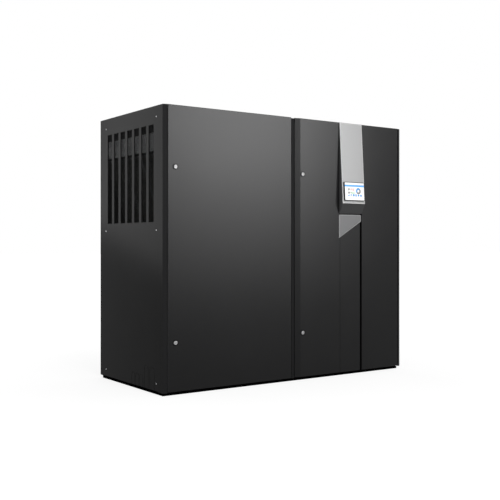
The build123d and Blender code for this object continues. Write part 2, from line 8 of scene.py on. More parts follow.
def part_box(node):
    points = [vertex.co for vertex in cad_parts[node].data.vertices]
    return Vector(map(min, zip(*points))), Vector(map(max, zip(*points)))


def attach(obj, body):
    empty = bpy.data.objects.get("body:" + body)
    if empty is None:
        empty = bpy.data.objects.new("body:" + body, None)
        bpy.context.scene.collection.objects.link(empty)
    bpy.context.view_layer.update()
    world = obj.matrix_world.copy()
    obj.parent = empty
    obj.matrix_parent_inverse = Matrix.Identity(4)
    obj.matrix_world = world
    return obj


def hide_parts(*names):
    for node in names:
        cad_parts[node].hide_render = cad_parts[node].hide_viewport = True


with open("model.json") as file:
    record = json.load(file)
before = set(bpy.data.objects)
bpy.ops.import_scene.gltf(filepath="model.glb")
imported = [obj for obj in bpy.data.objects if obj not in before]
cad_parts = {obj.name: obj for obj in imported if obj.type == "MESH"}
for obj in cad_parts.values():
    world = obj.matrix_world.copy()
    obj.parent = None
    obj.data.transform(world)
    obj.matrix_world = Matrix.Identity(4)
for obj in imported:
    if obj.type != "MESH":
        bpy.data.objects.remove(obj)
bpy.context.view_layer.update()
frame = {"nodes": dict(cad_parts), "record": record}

# Lengths are in metres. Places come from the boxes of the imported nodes, so each piece sits on what
# carries it.

MM = 0.001
NODES = frame["nodes"]

LEFT, RIGHT = Vector((-1, 0, 0)), Vector((1, 0, 0))
FRONT, REAR, UP = Vector((0, -1, 0)), Vector((0, 1, 0)), Vector((0, 0, 1))

# A face looks along a direction when more than this share of its normal does
STRAIGHT = 0.9

# The strike strips by the corner posts lie further out than this, and the cabinet's top edges lie higher
CORNER_STRIPS = 0.9
TOP_LEVEL = 1.9

# Door seals, as (inset, rise) pairs in millimetres, and the linings and stiffeners of the doors
SEAL_INSET = 8.0 * MM
SEAL_OVERLAP = 12.0 * MM
SEAL_PROFILE = ((0, 0), (0, 1.4), (1.6, 1.7), (1.9, 3.6), (2.9, 4.8), (4.1, 4.8), (5.1, 3.6), (5.4, 1.7),
                (7, 1.4), (7, 0))
LINING_LATCH_CLEAR = 110.0 * MM
LINING_HINGE_CLEAR = 40.0 * MM
LINING_END_CLEAR = 60.0 * MM
LINING_RAIL_CLEAR = 24.0 * MM
LINING_RISE = 5.5 * MM
LINING_EDGE = 2.5 * MM
HAT_SECTION = ((-20, 0), (20, 0), (20, 1.2), (11, 1.2), (9, 6), (-9, 6), (-11, 1.2), (-20, 1.2))

# Chamfer of the accent plate, rim of the bezel, the door's left edge, and the bevel of bent sheets. The
# bezel's rim and the door's left edge take lighter paint as painted highlight and painted light.
ACCENT_BEVEL_WIDTH = 5.0 * MM
ACCENT_BEVEL_DEPTH = 2.0 * MM
BEZEL_RIM_DEPTH = 0.3 * MM
DOOR_EDGE_DEPTH = 1.0 * MM
EDGE_RADIUS = 0.6 * MM
EDGE_ANGLE = 35.0
WELD_DISTANCE = 0.01 * MM

# Filters: framed cassettes side by side, with cloth that runs in pleats between two depths
FILTER_LEAN = 190.0 * MM
CASSETTE_COUNT = 3
CASSETTE_GAP = 2.0 * MM
CASSETTE_BORDER = 14.0 * MM
CASSETTE_DEPTH = 44.0 * MM
PLEAT_MARGIN = 15.0 * MM
PLEAT_PITCH = 16.0 * MM
PLEAT_DEPTHS = (40.0 * MM, 2.0 * MM)
CLOTH = 1.5 * MM

# Blank-off sheets over the filters, which stand just behind the rails' 2 mm sheet
BLANK_OFF_INSET = 2.1 * MM
BLANK_OFF_SHEET = 1.2 * MM
BLANK_OFF_LAP = 25.0 * MM
BLANK_OFF_FLANGE = 25.0 * MM
BLANK_OFF_GAP = 3.0 * MM

# Perforated sheets behind the side walls' slots
SLOT_COUNT = 7
SLOT_WIDTH = 74.0 * MM
SLOT_PITCH = 109.3 * MM
SLOT_EDGE = 12.0 * MM
HOLE_PITCH = 8.22 * MM
HOLE_SHARE = 0.76
POINTS_PER_METRE = 1e7

# Screws and knockouts of the side walls, measured from the wall's front edge and from the floor
WALL_SCREW_PLACES = (59.5 * MM, 855.0 * MM)
WALL_SCREW_HEIGHTS = (72.0 * MM, 1120.0 * MM, 1895.5 * MM)
LOW_KNOCKOUTS = ((278.0 * MM, 49.0 * MM), (338.5 * MM, 49.0 * MM), (400.0 * MM, 49.0 * MM))
HIGH_KNOCKOUTS = ((117.8 * MM, 65.0 * MM), (201.4 * MM, 55.0 * MM))
LOW_KNOCKOUT_TOP = 111.0 * MM
HIGH_KNOCKOUT_TOP = 181.0 * MM
KNOCKOUT_STEPS = 14
GROOVE_WIDTH = 3.4 * MM
GROOVE_DEPTH = 1.0 * MM
CUTTER_RISE = 0.3 * MM

# Screws: the head, as shares of its radius and height, its seat, and the places in the other sheets
SCREW_RADIUS = 4.6 * MM
SCREW_HEIGHT = 1.0 * MM
PROUD_SCREW_HEIGHT = 1.8 * MM
SOCKET_SHARE = 0.42
HEAD_PROFILE = ((0.0, 0.0), (1.0, 0.0), (1.0, 0.35), (0.86, 0.8), (0.62, 1.0), (SOCKET_SHARE, 1.0))
SOCKET_FLOOR = 0.25
SEAT_RADIUS = 10.5 * MM
SEAT_DEPTH = 1.1 * MM
SEAT_RISE = 0.2 * MM
REAR_SCREW_INSET = 14.0 * MM
REAR_SCREW_END = 60.0 * MM
ROOF_SCREW_FRONT = 130.0 * MM
ROOF_SCREW_REAR = 30.0 * MM
ROOF_SCREW_END = 80.0 * MM
SHEET_SCREW_COUNT = 4
INNER_SCREW_INSET = 32.0 * MM
INNER_SCREW_END = 40.0 * MM
INNER_SCREW_COUNT = 6
COVER_SCREW_INSET = 20.0 * MM
COVER_SCREW_COUNT = 3

# Faces deeper under a sheet's surface than the margin, and turned outwards, are seats and grooves, which take
# the near-black of rubber as painted shade
SEAT_MARGIN = 0.2 * MM
SEAT_TURN = 0.1

# Page of the display, in shares of the screen's width and height. Angles run clockwise from the top.
SCREEN_FILM = 0.25 * MM
HEADER_TOP, HEADER_FOOT = 0.122, 0.232
GAUGE_CENTRE = (0.7, 0.472)
GAUGE_RADII = (24.5 * MM, 10.5 * MM)
GAUGE_BLUE, GAUGE_GREY = (-122, 45), (47, 236)
SIGNS = ((0.19, "bars"), (0.32, "ring"), (0.45, "square"), (0.57, "frame"), (0.70, "disc"), (0.83, "house"))
SIGN_ROW = 0.72
SIGN_SIZE = 8.2 * MM
LABELS = ((0.15, 0.34, 0.26, 0.405), (0.15, 0.42, 0.24, 0.45), (0.15, 0.525, 0.27, 0.59),
          (0.15, 0.605, 0.25, 0.635))
READINGS = {"screen_red": ("24.6", 0.29, 0.335), "screen_green": ("45.0", 0.3, 0.525)}
READING_HEIGHT = 0.115
DIGIT_WIDTH, DIGIT_STROKE, DIGIT_GAP = 0.52, 0.17, 1.2
DIGIT_STROKES = {"0": "abcdef", "1": "bc", "2": "abged", "3": "abgcd", "4": "fgbc", "5": "afgcd",
                 "6": "afgedc", "7": "abc", "8": "abcdefg", "9": "abcdfg"}

# Camera, solved from the photograph's two vanishing points, on a 500 pixel square frame
CAMERA_PLACE = (-3.816, -5.3647, 1.042)
CAMERA_TURN = -34.93
FOCAL_PIXELS = 828.2
FRAME_PIXELS = 500.0
SENSOR_WIDTH = 36.0
CAMERA_SHIFT = (-0.0012, -0.0168)

# World and floor. The floor glows towards the full white of the world between two distances.
WORLD_FILL = 0.4
FLOOR_HALF_SIZE = 60.0
FLOOR_COLOUR = 0.28
FLOOR_GLOW = 0.82
FLOOR_FADE = (1.5, 8.0)

# Lamps, as place, point that they face, size and brightness. Gloss doesn't see the key and the fills.
KEY_LAMP = ((-1.4, -4.2, 2.6), (-1.4, 0.0, 2.6), (2.4, 2.4), 6.7)
BACK_FILL = ((0.8, 5.5, 3.4), (0.0, 0.5, 1.0), (4.0, 3.0), 2.0)
RIGHT_FILL = ((5.5, 0.8, 3.0), (1.1, 0.0, 1.0), (3.0, 3.0), 2.0)

# Lamps that only gloss sees: one beside the left wall, and the doors' sheen, stacked edge to edge as
# (low edge, high edge, brightness)
SIDE_LAMP = ((-3.4, 4.1, 2.6), (-1.1, 4.1, 2.6), (3.4, 3.4), 3.6)
SIDE_LEAN = -15.0
SHEEN_X, SHEEN_Y, SHEEN_WIDTH = 2.3, -4.6, 2.9
SHEEN_STEPS = ((0.6, 1.2, 5.2), (1.2, 1.8, 9.3), (1.8, 2.4, 20.1), (2.4, 2.9, 25.2), (2.9, 3.4, 24.0),
               (3.4, 3.8, 28.0))


def node_box(name):
    """The lowest and highest corner of a node as two vectors."""
    low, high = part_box(name)
    return Vector(low), Vector(high)


def add_object(name, data):
    """An object of the scene that holds a mesh, a lamp or a camera."""
    thing = bpy.data.objects.new(name, data)
    bpy.context.scene.collection.objects.link(thing)
    return thing


# Materials

def new_material(name):
    """A material, its node tree and its shader."""
    material = bpy.data.materials.new(name)
    material.use_nodes = True
    tree = material.node_tree
    return material, tree, tree.nodes["Principled BSDF"]


def add_node(tree, kind, **values):
    """A node with its sockets or settings filled in."""
    node = tree.nodes.new(kind)
    for key, value in values.items():
        if key in node.inputs:
            node.inputs[key].default_value = value
        else:
            setattr(node, key, value)
    return node


def object_place(tree, stretch=(1.0, 1.0, 1.0)):
    """Object coordinates, multiplied by a factor along each axis."""
    coordinates = add_node(tree, "ShaderNodeTexCoord")
    mapping = add_node(tree, "ShaderNodeMapping", Scale=stretch)
    tree.links.new(coordinates.outputs["Object"], mapping.inputs["Vector"])
    return mapping.outputs["Vector"]


def noise(tree, place, scale, detail):
    """The value of a noise texture."""
    texture = add_node(tree, "ShaderNodeTexNoise", Scale=scale, Detail=detail)
    tree.links.new(place, texture.inputs["Vector"])
    return texture.outputs["Fac"]


def ranged(tree, source, low, high, start=0.0, end=1.0):
    """A value carried from the range start to end over to the range low to high."""
    span = add_node(tree, "ShaderNodeMapRange")
    for name, value in (("From Min", start), ("From Max", end), ("To Min", low), ("To Max", high)):
        span.inputs[name].default_value = value
    tree.links.new(source, span.inputs["Value"])
    return span.outputs["Result"]


def tinted(colour, share):
    """A colour made darker or lighter."""
    return tuple(min(1.0, channel * share) for channel in colour)


def vary_colour(tree, shader, source, dark, light, socket="Base Color", ends=(0.3, 0.7)):
    """A colour that drifts between two tones with a texture."""
    ramp = add_node(tree, "ShaderNodeValToRGB")
    for element, position, colour in zip(ramp.color_ramp.elements, ends, (dark, light)):
        element.position = position
        element.color = (*colour, 1.0)
    tree.links.new(source, ramp.inputs["Fac"])
    tree.links.new(ramp.outputs["Color"], shader.inputs[socket])


def vary_roughness(tree, shader, source, low, high):
    """A roughness that drifts between two values with a texture."""
    tree.links.new(ranged(tree, source, low, high), shader.inputs["Roughness"])


def add_bump(tree, shader, source, strength, distance):
    """Fine relief from a texture."""
    bump = add_node(tree, "ShaderNodeBump", Strength=strength, Distance=distance)
    tree.links.new(source, bump.inputs["Height"])
    tree.links.new(bump.outputs["Normal"], shader.inputs["Normal"])


def powder_coat(name, colour, roughness, specular):
    """Powder-coated steel: fine orange peel, and a slow drift in tone and gloss."""
    material, tree, shader = new_material(name)
    place = object_place(tree)
    slow = noise(tree, place, 3.0, 3.0)
    vary_colour(tree, shader, slow, tinted(colour, 0.94), tinted(colour, 1.06))
    vary_roughness(tree, shader, slow, roughness - 0.02, roughness + 0.02)
    add_bump(tree, shader, noise(tree, place, 700.0, 2.0), 0.05, 0.2 * MM)
    shader.inputs["Specular IOR Level"].default_value = specular
    return material


def metal(name, colour, roughness, metallic, specular, stretch, scale, drift):
    """Metal or metallic paint, with streaks along the axis that has the smallest factor in stretch."""
    material, tree, shader = new_material(name)
    streaks = noise(tree, object_place(tree, stretch), scale, 4.0)
    vary_colour(tree, shader, streaks, tinted(colour, 1 - drift), tinted(colour, 1 + drift))
    vary_roughness(tree, shader, streaks, roughness - 0.8 * drift, roughness + 0.8 * drift)
    add_bump(tree, shader, streaks, 0.6 * drift, 0.1 * MM)
    shader.inputs["Metallic"].default_value = metallic
    shader.inputs["Specular IOR Level"].default_value = specular
    return material


def galvanised(name, colour):
    """Galvanised sheet with its crystal pattern."""
    material, tree, shader = new_material(name)
    cells = add_node(tree, "ShaderNodeTexVoronoi", Scale=75.0)
    tree.links.new(object_place(tree), cells.inputs["Vector"])
    grey = add_node(tree, "ShaderNodeSeparateColor")
    tree.links.new(cells.outputs["Color"], grey.inputs["Color"])
    vary_colour(tree, shader, grey.outputs["Red"], tinted(colour, 0.93), tinted(colour, 1.05))
    vary_roughness(tree, shader, grey.outputs["Green"], 0.52, 0.62)
    shader.inputs["Metallic"].default_value = 0.25
    shader.inputs["Specular IOR Level"].default_value = 0.15
    return material


def fleece(name, colour):
    """Filter cloth or foam."""
    material, tree, shader = new_material(name)
    fibres = noise(tree, object_place(tree), 420.0, 6.0)
    vary_colour(tree, shader, fibres, tinted(colour, 0.85), tinted(colour, 1.1))
    add_bump(tree, shader, fibres, 0.4, 0.4 * MM)
    shader.inputs["Roughness"].default_value = 0.9
    shader.inputs["Specular IOR Level"].default_value = 0.2
    return material


def moulded(name, colour, roughness, specular):
    """Moulded plastic with a fine spark-eroded grain."""
    material, tree, shader = new_material(name)
    grain = noise(tree, object_place(tree), 1500.0, 2.0)
    vary_colour(tree, shader, grain, tinted(colour, 0.94), tinted(colour, 1.06))
    vary_roughness(tree, shader, grain, roughness - 0.03, roughness + 0.03)
    add_bump(tree, shader, grain, 0.08, 0.1 * MM)
    shader.inputs["Specular IOR Level"].default_value = specular
    return material


def lit_screen(name, colour):
    """A lit area of the display, with the faint unevenness of its backlight."""
    material, tree, shader = new_material(name)
    drift = noise(tree, object_place(tree), 8.0, 2.0)
    vary_colour(tree, shader, drift, tinted(colour, 0.98), colour, "Emission Color", (0.0, 1.0))
    shader.inputs["Emission Strength"].default_value = 1.0
    shader.inputs["Base Color"].default_value = (0.02, 0.02, 0.02, 1.0)
    shader.inputs["Roughness"].default_value = 0.15
    return material


# The arguments of each kind of material after its name. Metals end with stretch, scale and drift.
EVEN, UPRIGHT = (1.0, 1.0, 1.0), (1.0, 1.0, 0.03)
FINE_DRAWN = (UPRIGHT, 600.0, 0.015)
LOOKS = {
    powder_coat: {
        "door_paint": ((0.009, 0.009, 0.0094), 0.30, 0.10),
        # A lighter paint on the left door's left edge, as painted light
        "door_edge_paint": ((0.06, 0.06, 0.062), 0.5, 0.1),
        "wall_paint": ((0.017, 0.017, 0.0175), 0.2, 0.017),
        "frame_paint": ((0.012, 0.012, 0.0125), 0.6, 0.1),
        "nose_paint": ((0.016, 0.016, 0.0165), 0.7, 0.03),
        # A darker copy of the frame paint, as painted shade in the gaps: on the strike strips, the groove
        # wall and the door backs
        "inner_frame_paint": ((0.007, 0.007, 0.0073), 0.7, 0.02),
        # The plinth's own black paint, darkened well below the other paints as painted shade of its recess
        "plinth_paint": ((0.0015, 0.0015, 0.0015), 0.7, 0.0),
        "roof_paint": ((0.014, 0.014, 0.0144), 0.7, 0.0),
        "grille_paint": ((0.0042, 0.0042, 0.0043), 0.6, 0.009),
    },
    galvanised: {
        "galvanised": ((0.4, 0.408, 0.416),),
        "rail_steel": ((0.42, 0.427, 0.434),),
    },
    fleece: {
        "filter_media": ((0.4, 0.4, 0.385),),
        "foam": ((0.02, 0.02, 0.021),),
    },
    moulded: {
        "cowl_grey": ((0.066, 0.066, 0.068), 0.5, 0.1),
        # A lighter copy of the console's grey, as painted light on the console's left side
        "cowl_side": ((0.1, 0.1, 0.103), 0.5, 0.1),
        "housing_black": ((0.006, 0.006, 0.0065), 0.55, 0.04),
        # Rubber of the door seals, whose near-black is also painted shade in the screw seats and knockout
        # grooves
        "rubber": ((0.006, 0.006, 0.006), 0.75, 0.08),
    },
    lit_screen: {
        "screen": ((1.0, 1.0, 1.0),),
        "screen_header": ((0.09, 0.42, 1.0),),
        "screen_blue": ((0.015, 0.3, 0.74),),
        "screen_grey": ((0.2, 0.21, 0.22),),
        "screen_red": ((0.85, 0.09, 0.08),),
        "screen_green": ((0.05, 0.48, 0.1),),
    },
    metal: {
        "silver_paint": ((0.345, 0.346, 0.349), 0.34, 0.0, 0.36, *FINE_DRAWN),
        # A lighter copy of the silver paint: a painted highlight on the bezel's rim and left side, and on the
        # accent's slanted foot
        "silver_edge": ((0.50, 0.501, 0.504), 0.34, 0.0, 0.36, *FINE_DRAWN),
        "accent_grey": ((0.245, 0.245, 0.25), 0.45, 0.0, 0.1, *FINE_DRAWN),
        # A lighter copy of the accent grey, as a painted highlight on the accent plate's chamfer and sides
        "accent_edge": ((0.36, 0.36, 0.365), 0.4, 0.0, 0.2, UPRIGHT, 120.0, 0.05),
        "latch_chrome": ((0.42, 0.42, 0.425), 0.3, 0.0, 0.3, EVEN, 120.0, 0.02),
        "screw_steel": ((0.5, 0.5, 0.51), 0.4, 1.0, 0.5, EVEN, 120.0, 0.05),
    },
}
MATERIALS = {name: make(name, *look) for make, looks in LOOKS.items() for name, look in looks.items()}

# Nodes whose material isn't the one of their slot in the record. The strike strips' darker frame paint is
# painted shade.
OWN_LOOKS = {"side_panel_left": "wall_paint", "side_panel_right": "wall_paint",
             "strike_strips": "inner_frame_paint", "post_middle": "nose_paint",
             "filter_rails": "rail_steel", "roof_panel": "roof_paint"}


def dress_nodes():
    """Every node keeps its mesh and takes the material of its slot in the record, or its own."""
    for part in frame["record"]["subparts"]:
        name = part["node"]
        materials = NODES[name].data.materials
        materials.clear()
        materials.append(MATERIALS[OWN_LOOKS.get(name, part["material_slot"])])


# Mesh helpers

def looks_along(face, direction):
    """Whether a face looks along a direction."""
    return face.normal.dot(direction) > STRAIGHT


def front_normal(mesh):
    """The normal of the largest face that looks to the front."""
    front = max((face for face in mesh.polygons if looks_along(face, FRONT)), key=lambda face: face.area)
    return front.normal.normalized()


def turn_outwards(mesh):
    """Every closed shell of a mesh with its faces outwards."""
    shell = bmesh.new()
    shell.from_mesh(mesh)
    bmesh.ops.recalc_face_normals(shell, faces=shell.faces)
    shell.to_mesh(mesh)
    shell.free()


def make_piece(name, vertices, faces, material, body, slot):
    """A mesh object that rides on a body and takes its finish from its material; its slot is not used."""
    mesh = bpy.data.meshes.new(name)
    mesh.from_pydata([tuple(v) for v in vertices], [], faces)
    mesh.validate()
    turn_outwards(mesh)
    mesh.update()
    mesh.materials.append(MATERIALS[material])
    piece = add_object(name, mesh)
    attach(piece, body)
    return piece


def around(count):
    """Pairs of neighbours round a ring."""
    return [(index, (index + 1) % count) for index in range(count)]


def turned(profile, centre, axis, sides, u, v):
    """Vertices and faces of a shape turned about an axis from (radius, height) pairs."""
    vertices, faces, rows = [], [], []
    for radius, height in profile:
        start = len(vertices)
        middle = centre + axis * height
        if radius < 1e-6:
            vertices.append(middle)
            rows.append([start])
            continue
        for index in range(sides):
            angle = 2 * math.pi * index / sides
            vertices.append(middle + u * (radius * math.cos(angle)) + v * (radius * math.sin(angle)))
        rows.append(list(range(start, start + sides)))
    for lower, upper in zip(rows, rows[1:]):
        for index, after in around(sides):
            corners = [lower[index % len(lower)], lower[after % len(lower)],
                       upper[after % len(upper)], upper[index % len(upper)]]
            faces.append([c for k, c in enumerate(corners) if c not in corners[:k]])
    return vertices, faces


def joined(parts):
    """Several lists of vertices and faces as one."""
    vertices, faces = [], []
    for part_vertices, part_faces in parts:
        start = len(vertices)
        vertices.extend(part_vertices)
        faces.extend([[start + index for index in face] for face in part_faces])
    return vertices, faces


def prism(points, depth):
    """A solid from a flat closed outline carried along a vector."""
    count = len(points)
    vertices = list(points) + [point + depth for point in points]
    faces = [list(reversed(range(count))), list(range(count, 2 * count))]
    faces += [[index, after, after + count, index + count] for index, after in around(count)]
    return vertices, faces


def rectangle(low, high, inset, y):
    """The corners of an upright rectangle on the plane y, drawn in by an inset."""
    left, right, foot, top = low.x + inset, high.x - inset, low.z + inset, high.z - inset
    corners = ((left, foot), (right, foot), (right, top), (left, top))
    return [Vector((x, y, z)) for x, z in corners]


def spread(start, end, count):
    """Evenly spaced values, both ends included."""
    return [start + (end - start) * index / (count - 1) for index in range(count)]


def facing(side):
    """-1 for the left wall and 1 for the right one."""
    return -1 if side == "left" else 1


# Grilles behind the side walls' slots

def honeycomb(width, height, side_margin, end_margin):
    """Flat points and faces of a sheet with a honeycomb of holes inside a plain margin."""
    points, index_of, faces = [], {}, []
    inner = (side_margin, end_margin, width - side_margin, height - end_margin)
    row_step = HOLE_PITCH * math.sqrt(3) / 2
    reach = HOLE_PITCH / math.sqrt(3)

    def point(u, v):
        """The number of a point, held inside the margin and shared with its neighbours."""
        u = min(max(u, inner[0]), inner[2])
        v = min(max(v, inner[1]), inner[3])
        key = (round(u * POINTS_PER_METRE), round(v * POINTS_PER_METRE))
        if key not in index_of:
            index_of[key] = len(points)
            points.append((u, v))
        return index_of[key]

    rows = int((inner[3] - inner[1]) / row_step) + 2
    columns = int((inner[2] - inner[0]) / HOLE_PITCH) + 2
    for row in range(rows):
        for column in range(columns):
            u = inner[0] + (column + 0.5 * (row % 2)) * HOLE_PITCH
            v = inner[1] + row * row_step
            outer = [(u + reach * math.sin(math.pi * k / 3), v + reach * math.cos(math.pi * k / 3))
                     for k in range(6)]
            ring = [point(*corner) for corner in reversed(outer)]
            ring = [a for k, a in enumerate(ring) if a not in ring[:k]]
            if not (inner[0] + reach < u < inner[2] - reach and inner[1] + reach < v < inner[3] - reach):
                if len(ring) > 2:
                    faces.append(ring)
                continue
            hole = []
            for a in ring:
                pu, pv = points[a]
                hole.append(len(points))
                points.append((u + HOLE_SHARE * (pu - u), v + HOLE_SHARE * (pv - v)))
            faces += [[ring[k], ring[after], hole[after], hole[k]] for k, after in around(6)]
    return points, faces, inner, index_of


def add_margins(points, faces, inner, index_of, width, height):
    """Four plain strips round the holes, which share every point of the border."""
    def border(axis, value):
        """The numbers of the points along one edge of the holes' area, in order."""
        found = [i for i in index_of.values() if abs(points[i][axis] - value) < 1e-9]
        return sorted(found, key=lambda i: points[i][1 - axis])

    left, right = border(0, inner[0]), border(0, inner[2])
    low, high = border(1, inner[1]), border(1, inner[3])
    base = len(points)
    points += [(0, 0), (width, 0), (width, height), (0, height)]
    faces.append([base, left[0], *left[1:], base + 3])
    faces.append([base + 2, *reversed(right), base + 1])
    faces.append([base, base + 1, *reversed(low)])
    faces.append([base + 2, base + 3, *high])


def extruded_sheet(flat, faces, place):
    """A sheet with holes: flat faces in two layers, with walls along every open edge."""
    count = len(flat)
    vertices = [place(u, v, 0) for u, v in flat] + [place(u, v, 1) for u, v in flat]
    edges = {(a, b): True for face in faces for a, b in zip(face, face[1:] + face[:1])}
    solid = [list(face) for face in faces] + [[i + count for i in reversed(face)] for face in faces]
    solid += [[b, a, a + count, b + count] for a, b in edges if (b, a) not in edges]
    return vertices, solid


def perforated_strips(side):
    """The perforated sheet behind one side wall, one strip for each slot."""
    low, high = node_box(f"grille_{side}")
    height = high.z - low.z
    outer_x, inner_x = (low.x, high.x) if side == "left" else (high.x, low.x)
    bar = (SLOT_PITCH - SLOT_WIDTH) / 2
    for number in range(SLOT_COUNT):
        slot_y = low.y + SLOT_EDGE + number * SLOT_PITCH
        points, faces, inner, index_of = honeycomb(SLOT_PITCH, height, bar, SLOT_EDGE)

        def place(u, v, layer):
            return (inner_x if layer else outer_x, slot_y - bar + u, low.z + v)

        add_margins(points, faces, inner, index_of, SLOT_PITCH, height)
        if side == "left":
            faces = [list(reversed(face)) for face in faces]
        vertices, solid = extruded_sheet(points, faces, place)
        piece = make_piece(f"grille_strip_{side}_{number + 1}", vertices, solid, "grille_paint",
                           "cabinet", "grille_paint")
        if number == 0:
            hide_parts(f"grille_{side}")


# Screws, and sheets with countersunk seats and grooves

def top_face(face):
    """Whether a face is part of the cabinet's uppermost edges."""
    return looks_along(face, UP) and face.center.z > TOP_LEVEL


def cut_node(node, name, cutters, out, material):
    """A copy of a cabinet sheet with pieces cut out of it, which then stands for the node."""
    mesh = NODES[node].data.copy()
    mesh.name = name
    piece = add_object(name, mesh)
    vertices, faces = joined(cutters)
    tool_mesh = bpy.data.meshes.new("cutters")
    tool_mesh.from_pydata([tuple(v) for v in vertices], [], faces)
    turn_outwards(tool_mesh)
    tool = add_object("cutters", tool_mesh)
    weld = piece.modifiers.new("weld", "WELD")
    weld.merge_threshold = WELD_DISTANCE
    cut = piece.modifiers.new("cut", "BOOLEAN")
    cut.object = tool
    cut.operation = "DIFFERENCE"
    cut.solver = "EXACT"
    cut.use_self = True
    bpy.context.view_layer.update()
    made = bpy.data.meshes.new_from_object(piece.evaluated_get(bpy.context.evaluated_depsgraph_get()))
    piece.modifiers.clear()
    piece.data = made
    made.name = name
    bpy.data.objects.remove(tool)
    made.materials.clear()
    # Seats and grooves take the rubber's near-black as painted shade, and the top faces the roof paint
    for finish in (material, "rubber", "roof_paint"):
        made.materials.append(MATERIALS[finish])
    level = max(vertex.co.dot(out) for vertex in made.vertices) - SEAT_MARGIN
    for face in made.polygons:
        face.material_index = int(face.normal.dot(out) > SEAT_TURN and face.center.dot(out) < level)
        if top_face(face):
            face.material_index = 2
    made.shade_flat()
    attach(piece, "cabinet")
    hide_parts(node)


def screw_seats(places, out):
    """Countersunk hollows for flat screw heads."""
    u = out.orthogonal().normalized()
    profile = [(0, -SEAT_DEPTH), (SCREW_RADIUS, -SEAT_DEPTH), (SEAT_RADIUS, SEAT_RISE), (0, SEAT_RISE)]
    return [turned(profile, place, out, 32, u, out.cross(u)) for place in places]


def screw_mesh(centre, out, height):
    """A low domed head with a six-sided socket."""
    u = out.orthogonal().normalized()
    v = out.cross(u)
    sides = 24
    socket = SCREW_RADIUS * SOCKET_SHARE
    profile = [(SCREW_RADIUS * across, height * up) for across, up in HEAD_PROFILE]
    vertices, faces = turned(profile, centre, out, sides, u, v)
    for depth in (height, SOCKET_FLOOR * height):
        start = len(vertices)
        for index in range(sides):
            angle = 2 * math.pi * index / sides
            flat = math.cos(math.pi / 6) / math.cos(angle % (math.pi / 3) - math.pi / 6)
            spoke = (u * math.cos(angle) + v * math.sin(angle)) * socket * flat
            vertices.append(centre + out * depth + spoke)
        faces += [[start - sides + index, start - sides + after, start + after, start + index]
                  for index, after in around(sides)]
    faces.append(list(range(len(vertices) - sides, len(vertices))))
    return vertices, faces


def screws(name, places, out, height=SCREW_HEIGHT):
    """One piece with a screw head at each place."""
    vertices, faces = joined([screw_mesh(place, out, height) for place in places])
    make_piece(name, vertices, faces, "screw_steel", "cabinet", "galvanised")


def ribbon(path, across, width, depth):
    """A flat band of even width along a path, carried along a vector."""
    left, right = [], []
    for index, point in enumerate(path):
        before = path[max(index - 1, 0)]
        after = path[min(index + 1, len(path) - 1)]
        side = (after - before).normalized().cross(across).normalized() * (width / 2)
        left.append(point + side)
        right.append(point - side)
    return prism(left + list(reversed(right)), depth)


def knockout_path(x, centre_y, width, top, bottom):
    """The outline of a punched tab: up, round over the top and down again."""
    radius = width / 2
    angles = [math.pi * k / KNOCKOUT_STEPS for k in range(KNOCKOUT_STEPS + 1)]
    arc = [Vector((x, centre_y - radius * math.cos(angle), top - radius + radius * math.sin(angle)))
           for angle in angles]
    return [Vector((x, centre_y - radius, bottom)), *arc, Vector((x, centre_y + radius, bottom))]


def side_wall(side):
    """The wall with its countersunk screws and the grooves of its knockouts."""
    low, high = node_box(f"side_panel_{side}")
    out = RIGHT if side == "right" else LEFT
    face = high.x if side == "right" else low.x
    places = [(low.y + y, z) for y in WALL_SCREW_PLACES for z in WALL_SCREW_HEIGHTS]
    cutters = screw_seats([Vector((face, *place)) for place in places], out)
    start = face + CUTTER_RISE * facing(side)
    depth = -out * (GROOVE_DEPTH + CUTTER_RISE)
    for knockouts, top in ((LOW_KNOCKOUTS, LOW_KNOCKOUT_TOP), (HIGH_KNOCKOUTS, HIGH_KNOCKOUT_TOP)):
        for y, width in knockouts:
            path = knockout_path(start, low.y + y, width, top, low.z - 1 * MM)
            cutters.append(ribbon(path, out, GROOVE_WIDTH, depth))
    cut_node(f"side_panel_{side}", f"side_wall_{side}", cutters, out, "wall_paint")
    floor = face - SEAT_DEPTH * facing(side)
    screws(f"wall_screws_{side}", [Vector((floor, *place)) for place in places], out)


def screwed_sheet(node, out, places, material):
    """A sheet whose countersunk screws lie flush with it."""
    cut_node(node, f"{node}_sheet", screw_seats(places, out), out, material)
    screws(f"{node}_screws", [place - out * SEAT_DEPTH for place in places], out)


def rear_and_roof_screws():
    """Screws down the upright edges of the rear panels and along the roof."""
    for node in ("rear_panel_left", "rear_panel_right"):
        low, high = node_box(node)
        heights = spread(low.z + REAR_SCREW_END, high.z - REAR_SCREW_END, SHEET_SCREW_COUNT)
        places = [Vector((x, high.y, z)) for x in (low.x + REAR_SCREW_INSET, high.x - REAR_SCREW_INSET)
                  for z in heights]
        screwed_sheet(node, REAR, places, "wall_paint")
    low, high = node_box("roof_panel")
    along = spread(low.x + ROOF_SCREW_END, high.x - ROOF_SCREW_END, SHEET_SCREW_COUNT)
    places = [Vector((x, y, high.z)) for y in (low.y + ROOF_SCREW_FRONT, high.y - ROOF_SCREW_REAR)
              for x in along]
    screwed_sheet("roof_panel", UP, places, "roof_paint")


